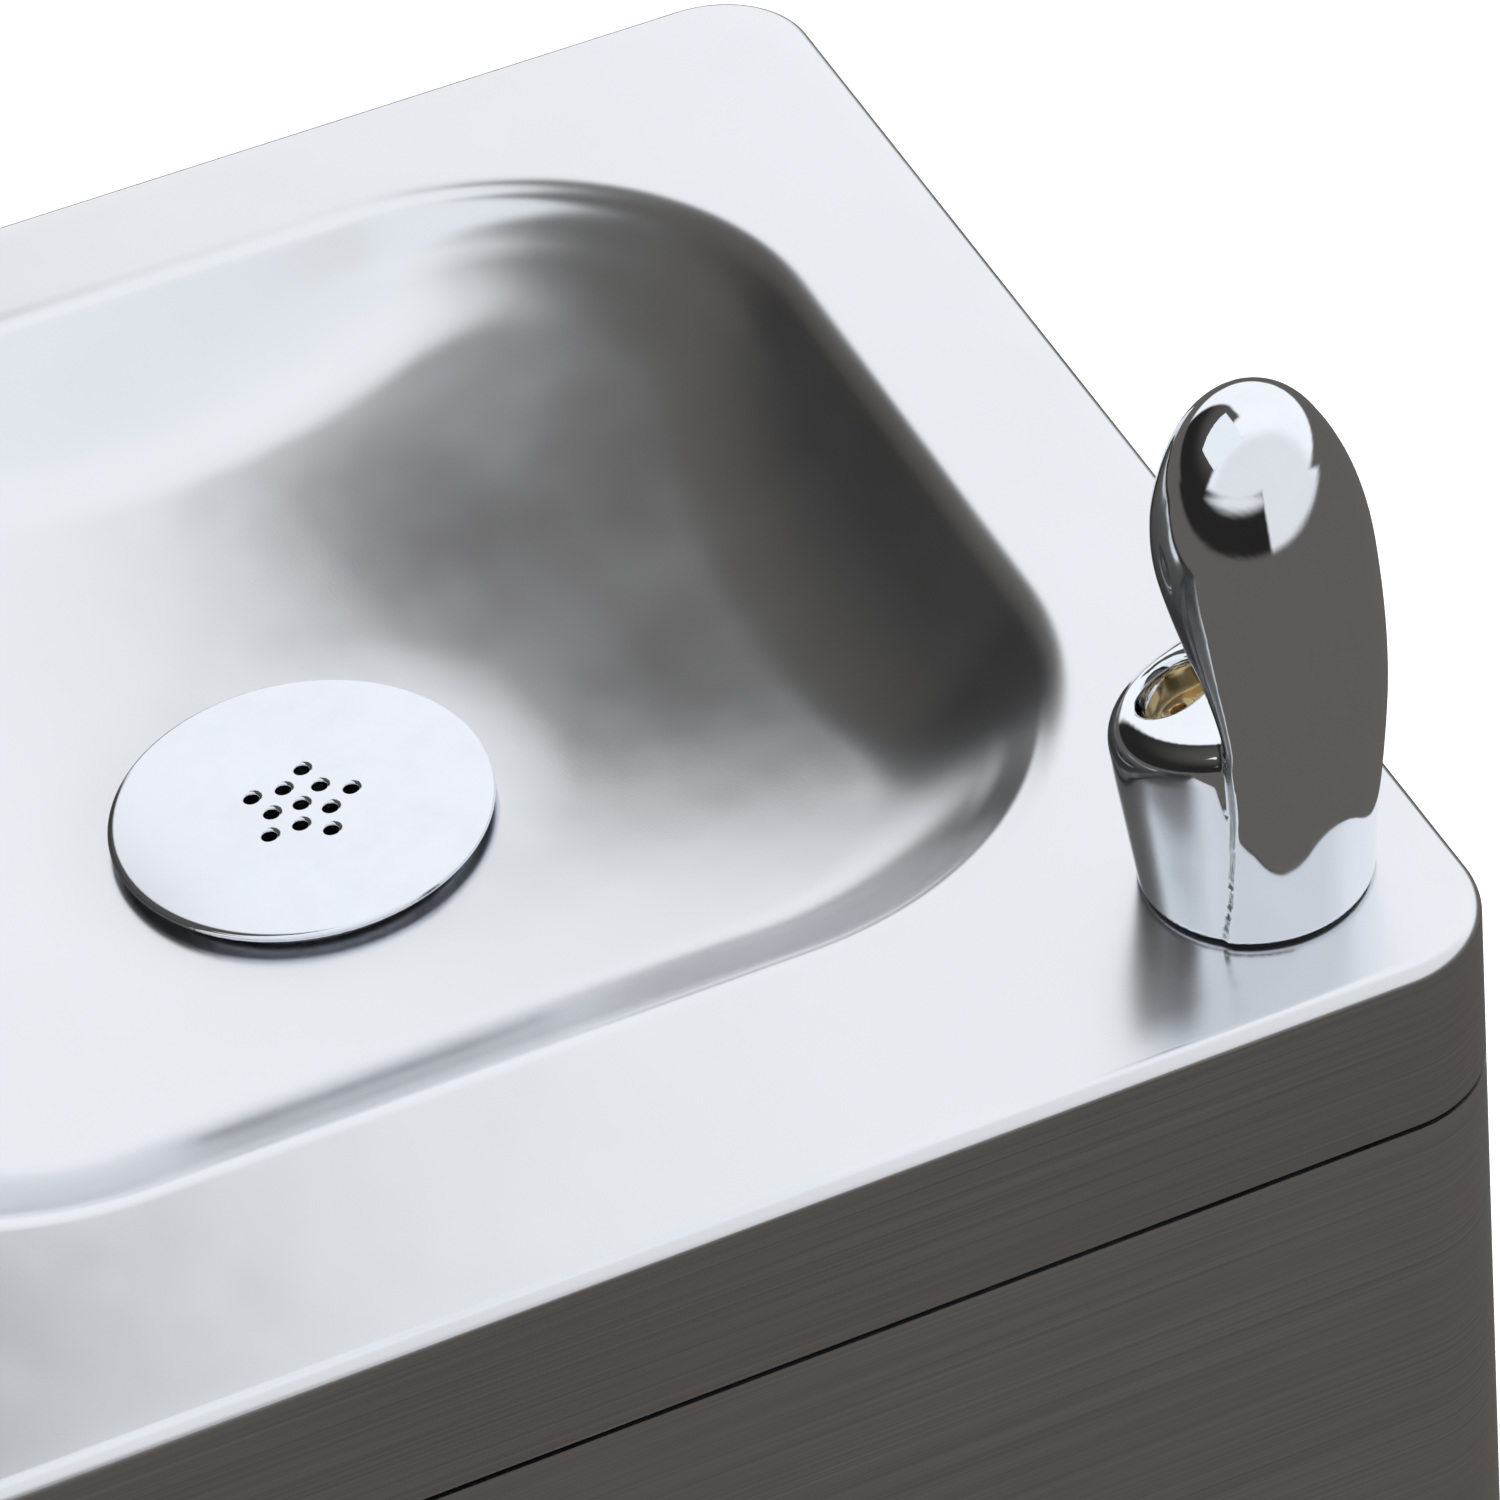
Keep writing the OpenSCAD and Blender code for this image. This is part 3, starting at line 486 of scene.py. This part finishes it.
def bowl_height(x, y):
    """Height of the bowl's surface under the deck: a lip and a wall that run smoothly into a dish."""
    inset = np.maximum(rim_inset(x, y), 0) / MM
    turn = LIP_R * math.sin(math.radians(WALL_ANGLE))
    lip = np.sqrt(LIP_R**2 - np.minimum(inset, turn) ** 2) - LIP_R
    wall = lip - np.maximum(inset - turn, 0) * math.tan(math.radians(WALL_ANGLE))
    reach = np.hypot(x, y - COVER_C.y) / MM
    dish_z = math.sqrt(DISH_R**2 - FLAT_R**2) - BOWL_DEPTH
    dish = dish_z - np.sqrt(DISH_R**2 - np.minimum(reach, 0.9 * DISH_R) ** 2)
    floor = smooth_max(dish, np.full(np.shape(dish), -float(BOWL_DEPTH)), 1.5)
    blend = FOOT_BLEND * np.clip(inset / FOOT_BLEND_INSET, 0.05, 1)
    return smooth_max(wall, floor, blend) * MM


def basin_rings():
    """Rings from the drain throat out over the bowl, the lip and the deck, and down the skirt."""
    theta = deck_angles()

    def ring(a, b, r, centre_y, z=None):
        radius = rounded_radius(theta, a, b, min(r, a, b))
        x, y = radius * np.cos(theta), radius * np.sin(theta) + centre_y
        height = bowl_height(x, y) if z is None else np.full(theta.shape, z * MM)
        return np.stack([x, y, DECK_Z + height], axis=1)

    rings = [ring(r * MM, r * MM, r * MM, COVER_C.y) for r in DRAIN_RINGS]
    first = DRAIN_RINGS[-1] * MM
    last = RIM_RINGS_START * MM
    for t in np.linspace(0, 1, 22)[1:]:
        rings.append(ring(
            first + (BOWL_A - last - first) * t,
            first + (BOWL_B - last - first) * t,
            first + (BOWL_R - last - first) * t,
            COVER_C.y + (BOWL_Y - COVER_C.y) * t,
        ))
    for inset in list(np.linspace(66, 12, 28)) + list(np.linspace(11, 0, 16)):
        rings.append(ring(BOWL_A - inset * MM, BOWL_B - inset * MM, BOWL_R - inset * MM, BOWL_Y))
    flat_half = HALF - EDGE_R * MM
    flat_corner = CORNER_R - EDGE_R * MM
    for t in np.linspace(0, 1, 7)[1:]:
        rings.append(ring(
            BOWL_A + (flat_half - BOWL_A) * t,
            BOWL_B + (flat_half - BOWL_B) * t,
            BOWL_R + (flat_corner - BOWL_R) * t,
            BOWL_Y * (1 - t),
            0,
        ))
    for u, z in arc((0, -EDGE_R), EDGE_R, 90, 0, 8)[1:]:
        rings.append(ring(flat_half + u * MM, flat_half + u * MM, flat_corner + u * MM, 0, z))
    low = -SKIRT_H / MM
    for z in (-EDGE_R - 0.8, -14, -27, low + 1.2, low + 0.5):
        rings.append(ring(HALF, HALF, CORNER_R, 0, z))
    for u, z in arc((-0.5, 0.5), 0.5, 0, -80, 4)[1:]:
        rings.append(ring(HALF + u * MM, HALF + u * MM, CORNER_R + u * MM, 0, low + z))
    return np.array(rings)


def make_basin():
    grid = basin_rings()
    outer_rows = np.arange(len(grid)) >= len(grid) - SKIRT_ROWS
    skirt_rows = outer_rows & (grid[:, 0, 2] < DECK_Z - SKIRT_DROP * MM)
    # The deck faces take the lighter colour, which is painted light; the skirt faces take the steel's own
    # tone.
    basin = sheet_solid("basin_skin", grid, SHEET, [DECK_PAINTED_LIGHT, SKIRT], skirt_rows)
    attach(basin, "fountain")
    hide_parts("basin")


# ---- Drain cover ----

COVER_CROWN = 1.8


def star_points():
    """Centres of the eleven holes: the middle, five round it and the five tips of the star."""
    turn = math.radians(70)
    points = [(0.0, 0.0)]
    for radius, offset in ((6.6, 36), (11.2, 0)):
        for i in range(5):
            a = turn + math.radians(72 * i + offset)
            points.append((radius * math.cos(a), radius * math.sin(a)))
    return points


def cover_field(x, y, z):
    """A crowned disc with a locating ring under it and a star of holes through it."""
    rim = COVER_R / MM
    radius = np.hypot(x, y)
    top = z - (COVER_CROWN - 0.35 * (radius / rim) ** 2)
    disc = smooth_max(smooth_max(radius - rim, top, 1.3), -z, 0.8)
    ring = smooth_max(np.abs(radius - 16.35) - 0.75, np.abs(z + 3) - 3.9, 0.4)
    body = smooth_min(disc, ring, 0.5)
    for cx, cy in star_points():
        hole = 1.65 - np.hypot(x - cx, y - cy)
        body = smooth_max(body, hole, 0.7)
    return body


def make_cover():
    middle = Vector((COVER_C.x, COVER_C.y, COVER_HIGH.z - COVER_CROWN * MM))
    place = Matrix.Translation(middle) @ Matrix.Scale(MM, 4)
    rim = COVER_R / MM + 1
    low, high, step = (-rim, -rim, -8), (rim, rim, 3), 0.42
    cover = field_object("drain_cover_plate", cover_field, low, high, step, place, MIRROR)
    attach(cover, "drain_cover")
    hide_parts("drain_cover")


# ---- Bubbler ----

# In the casting's own millimetres, s runs from its axis towards the bowl, l across that, and z up.
# Each outline is a smooth curve through values at a few heights.
STATIONS = [0, 15, 30, 45, 60, 75, 90, 105]
BACK = curve(STATIONS, [23.3, 24.3, 25.8, 26.9, 27.0, 26.2, 24.6, 22.6])
SIDE = curve(STATIONS, [23.3, 24.3, 25.4, 26.0, 25.8, 25.0, 23.8, 22.4])
CENTRE = curve(STATIONS, [0, 0, -1, -2.5, -3.5, -4, -4, -3.6])
FOOT_FRONT = curve([0, 15, 30, 48], [23.3, 25.2, 27.0, 28.2])
NECK_CENTRE = curve([0, 20, 43, 54, 70, 84, 98], [-2, -5, -7, -6.5, -5, -4, -3.6])
NECK_FRONT = curve(
    [0, 30, 43, 54, 62, 70, 77, 83, 90, 100],
    [-3, -3.5, -2.5, 0.8, 4.6, 9.4, 12.6, 14.6, 15.6, 15.6],
)
FACE_Z = 46
FACE_S = 5
FACE_TILT = math.radians(20)
HEAD_Z = 78
HEAD_H = 37.6
HEAD_POWER = 2.25
RECESS_S = 14.8
RECESS_U, RECESS_V, RECESS_D = 7.7, 9.0, 11
# A radius that turns the outlines' ratios into rough distances.
MEAN_R = 25.0


def section_ratio(s, l, z, front, middle):
    """Distance from the body's axis over the distance to its outline, at one height."""
    centre = middle(z)
    reach = np.where(s < centre, BACK(z) + centre, front(z) - centre)
    return np.sqrt(((s - centre) / reach) ** 2 + (l / SIDE(z)) ** 2)


def bubbler_field(s, l, z):
    """A foot with a tilted face, a hood over it that ends in a rounded head, and the nozzle's recess."""
    slope = math.tan(FACE_TILT)
    face = (z - (FACE_Z - (s - FACE_S) * slope)) * math.cos(FACE_TILT)
    foot = (section_ratio(s, l, z, FOOT_FRONT, CENTRE) - 1) * MEAN_R
    foot = smooth_max(foot, face, 6)
    head = np.maximum(z - HEAD_Z, 0) / HEAD_H
    neck = section_ratio(s, l, z, NECK_FRONT, NECK_CENTRE)
    hood = ((neck**HEAD_POWER + head**HEAD_POWER) ** (1 / HEAD_POWER) - 1) * MEAN_R
    body = smooth_min(foot, hood, 2.5 * np.clip((s + 14) / 10, 0.02, 1))
    body = smooth_max(body, -z, 0.6)
    ds = s - RECESS_S
    dz = z - (FACE_Z - (RECESS_S - FACE_S) * slope)
    u = ds * math.cos(FACE_TILT) - dz * math.sin(FACE_TILT)
    w = ds * math.sin(FACE_TILT) + dz * math.cos(FACE_TILT)
    recess = (np.hypot(u / RECESS_U, l / RECESS_V) - 1) * RECESS_U
    recess = smooth_max(recess, -(w + RECESS_D), 1.5)
    return smooth_max(body, -recess, 2.4)


def make_bubbler():
    turn = Matrix.Rotation(math.radians(135), 4, "Z")
    place = Matrix.Translation(BUBBLER_AT) @ turn @ Matrix.Scale(MM, 4)
    low, high, step = (-31, -30, -1.4), (33, 30, 128), 0.72
    body = field_object("bubbler_casting", bubbler_field, low, high, step, place, CHROME)
    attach(body, "fountain")
    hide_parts("bubbler_body")


# ---- Push button ----

def facing_front(y):
    """A frame in millimetres whose Z points out of the front, at the button's axis."""
    origin = Vector((BUTTON_AT.x, y, BUTTON_AT.z))
    return Matrix.Translation(origin) @ Matrix.Rotation(math.radians(90), 4, "X") @ Matrix.Scale(MM, 4)


def make_button():
    """The bezel and the button, turned from profiles whose heights count from each one's front."""
    out = (BEZEL_HIGH.y - BEZEL_LOW.y) / MM
    flange = (-HALF - BEZEL_LOW.y) / MM
    bore, wide_bore, shoulder = 14.3, 16.3, flange + 6
    ring = [(27, -flange + 0.3)] + arc((25.4, -1.6), 1.6, 0, 90, 8) + arc((17.2, -1.2), 1.2, 90, 180, 6)
    ring = ring + [(bore + 0.9, -2.6), (bore, -3.4), (bore, -shoulder), (wide_bore, -shoulder),
                   (wide_bore, -out), (20, -out), (20, -flange + 0.3)]
    bezel = revolve("button_collar", ring, facing_front(BEZEL_LOW.y), CHROME)
    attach(bezel, "fountain")
    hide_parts("button_bezel")
    depth = (BUTTON_HIGH.y - BUTTON_LOW.y) / MM
    neck = 14.0
    dish = [(r, -0.9 + 0.9 * (r / 11.0) ** 2) for r in np.linspace(0.4, 11.0, 10)]
    cap = dish + arc((12.4, -1.6), 1.6, 75, 0, 7) + [(neck, -3), (neck, -depth + 4), (16, -depth + 3.9)]
    cap = cap + [(16, -depth), (0.4, -depth)]
    button = revolve("button_cap", cap[::-1], facing_front(BUTTON_LOW.y), CHROME)
    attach(button, "push_button")
    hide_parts("push_button")


# ---- Stage ----

CAMERA_AT = Vector((-0.1989, -0.9481, 1.7542))
CAMERA_AZ, CAMERA_EL, CAMERA_ROLL = 17.497, 40.692, -7.688
FOCAL_PIXELS = 6014.2
FRAME_PIXELS = 1500
SENSOR = 36.0


def make_camera():
    """A camera at the photograph's angle: azimuth from +Y towards +X, elevation looking down."""
    az, el, roll = (math.radians(v) for v in (CAMERA_AZ, CAMERA_EL, CAMERA_ROLL))
    forward = Vector((math.sin(az) * math.cos(el), math.cos(az) * math.cos(el), -math.sin(el)))
    right = Vector((math.cos(az), -math.sin(az), 0))
    up = right.cross(forward)
    x_axis = right * math.cos(roll) + up * math.sin(roll)
    y_axis = up * math.cos(roll) - right * math.sin(roll)
    data = bpy.data.cameras.new("camera")
    data.sensor_width = SENSOR
    data.lens = SENSOR * FOCAL_PIXELS / FRAME_PIXELS
    data.clip_end = 60
    camera = bpy.data.objects.new("camera", data)
    basis = Matrix((x_axis, y_axis, -forward)).transposed().to_4x4()
    camera.matrix_world = Matrix.Translation(CAMERA_AT) @ basis
    bpy.context.collection.objects.link(camera)
    bpy.context.scene.camera = camera


def area_light(name, place, target, size, watts):
    data = bpy.data.lights.new(name, "AREA")
    data.shape = "RECTANGLE"
    data.size, data.size_y = size
    data.energy = watts
    lamp = bpy.data.objects.new(name, data)
    lamp.location = place
    lamp.rotation_euler = (Vector(target) - Vector(place)).to_track_quat("-Z", "Y").to_euler()
    lamp.visible_camera = False
    bpy.context.collection.objects.link(lamp)
    return lamp


def make_world():
    """Soft studio surroundings: pale above and behind, dim to the left, in front and below."""
    world = bpy.data.worlds.new("studio")
    world.use_nodes = True
    nodes, links = world.node_tree.nodes, world.node_tree.links
    coords = nodes.new("ShaderNodeTexCoord")

    def band(direction, start, end):
        facing = nodes.new("ShaderNodeVectorMath")
        facing.operation = "DOT_PRODUCT"
        facing.inputs[1].default_value = Vector(direction).normalized()
        spread = nodes.new("ShaderNodeMapRange")
        spread.interpolation_type = "SMOOTHERSTEP"
        spread.inputs["From Min"].default_value = start
        spread.inputs["From Max"].default_value = end
        links.new(coords.outputs["Generated"], facing.inputs[0])
        links.new(facing.outputs["Value"], spread.inputs["Value"])
        return spread.outputs["Result"]

    def blend(factor, low, high):
        mix = nodes.new("ShaderNodeMix")
        mix.data_type = "RGBA"
        for socket, color in ((mix.inputs[6], low), (mix.inputs[7], high)):
            if isinstance(color, tuple):
                socket.default_value = (*color, 1)
            else:
                links.new(color, socket)
        links.new(factor, mix.inputs[0])
        return mix.outputs[2]

    def combine(operation, a, b):
        pick = nodes.new("ShaderNodeMath")
        pick.operation = operation
        links.new(a, pick.inputs[0])
        links.new(b, pick.inputs[1])
        return pick.outputs[0]

    sky = blend(band((0, -1, 0), 0.0, 0.45), (1.03, 1.045, 1.07), (0.84, 0.85, 0.87))
    dim = blend(band((0, 0, 1), 0.2, 0.75), (0.020, 0.019, 0.018), (0.095, 0.090, 0.083))
    open_side = combine("MAXIMUM", band((1, 0, 0), 0.045, 0.135), band((1, 0.25, -0.35), -0.01, 0.08))
    front_high = combine("MINIMUM", band((0, -1, 0), 0.05, 0.2), band((0, 0, 1), 0.25, 0.4))
    open_side = combine("MAXIMUM", open_side, front_high)
    room = blend(open_side, dim, sky)
    high = blend(band((0.1, 0.1, 1), 0.935, 0.975), room, sky)
    ground = blend(band((0, 0, 1), -0.06, 0.03), (0.125, 0.118, 0.11), high)
    links.new(ground, nodes["Background"].inputs["Color"])
    nodes["Background"].inputs["Strength"].default_value = 1.0
    bpy.context.scene.world = world


def make_floor():
    """A pale floor, and a pale wall round it that only the camera sees."""
    material = new_material("pale_floor", (0.86, 0.86, 0.86), 0.9, metallic=0.0)[0]
    span = 12
    top = 14
    sides = 64
    floor = add_mesh("floor", [(-span, -span, 0), (span, -span, 0), (span, span, 0), (-span, span, 0)],
                     [(0, 1, 2, 3)], [material])
    floor.visible_glossy = False
    wall_material, _, _, shader = new_material("pale_backdrop", (0.9, 0.9, 0.9), 1.0, metallic=0.0)
    shader.inputs["Emission Color"].default_value = (1, 1, 1, 1)
    shader.inputs["Emission Strength"].default_value = 0.9
    turn = np.linspace(0, 2 * math.pi, sides, endpoint=False)
    verts = [(span * math.cos(t), span * math.sin(t), z) for z in (-0.5, top) for t in turn]
    faces = [(i, (i + 1) % sides, sides + (i + 1) % sides, sides + i) for i in range(sides)]
    backdrop = add_mesh("backdrop", verts, faces, [wall_material])
    for ray in ("glossy", "diffuse", "shadow"):
        setattr(backdrop, "visible_" + ray, False)


def make_hood_card():
    """A bright card over the bowl that only reflections see: it lights the bowl side of the hood."""
    material, _, _, shader = new_material("bright_card", (0, 0, 0), 1.0, metallic=0.0)
    shader.inputs["Emission Color"].default_value = (0.93, 0.97, 1.0, 1)
    shader.inputs["Emission Strength"].default_value = 1.0
    low, high, z = (-0.23, -0.22), (0.13, 0.07), 1.33
    corners = [(low[0], low[1], z), (high[0], low[1], z), (high[0], high[1], z), (low[0], high[1], z)]
    card = add_mesh("hood_card", corners, [(0, 1, 2, 3)], [material])
    for ray in ("camera", "diffuse", "shadow", "transmission"):
        setattr(card, "visible_" + ray, False)


def make_lights():
    """Soft light from above, which reflections don't see, and the card over the bowl."""
    overhead = area_light("overhead", (0.2, 0.6, 3.2), (0.1, 0.3, 0), (4.5, 4.5), 190)
    overhead.visible_glossy = False
    make_hood_card()


bpy.context.scene.view_settings.view_transform = "Standard"
make_camera()
make_world()
make_floor()
make_lights()
make_basin()
make_cover()
make_bubbler()
make_button()
dress_nodes()
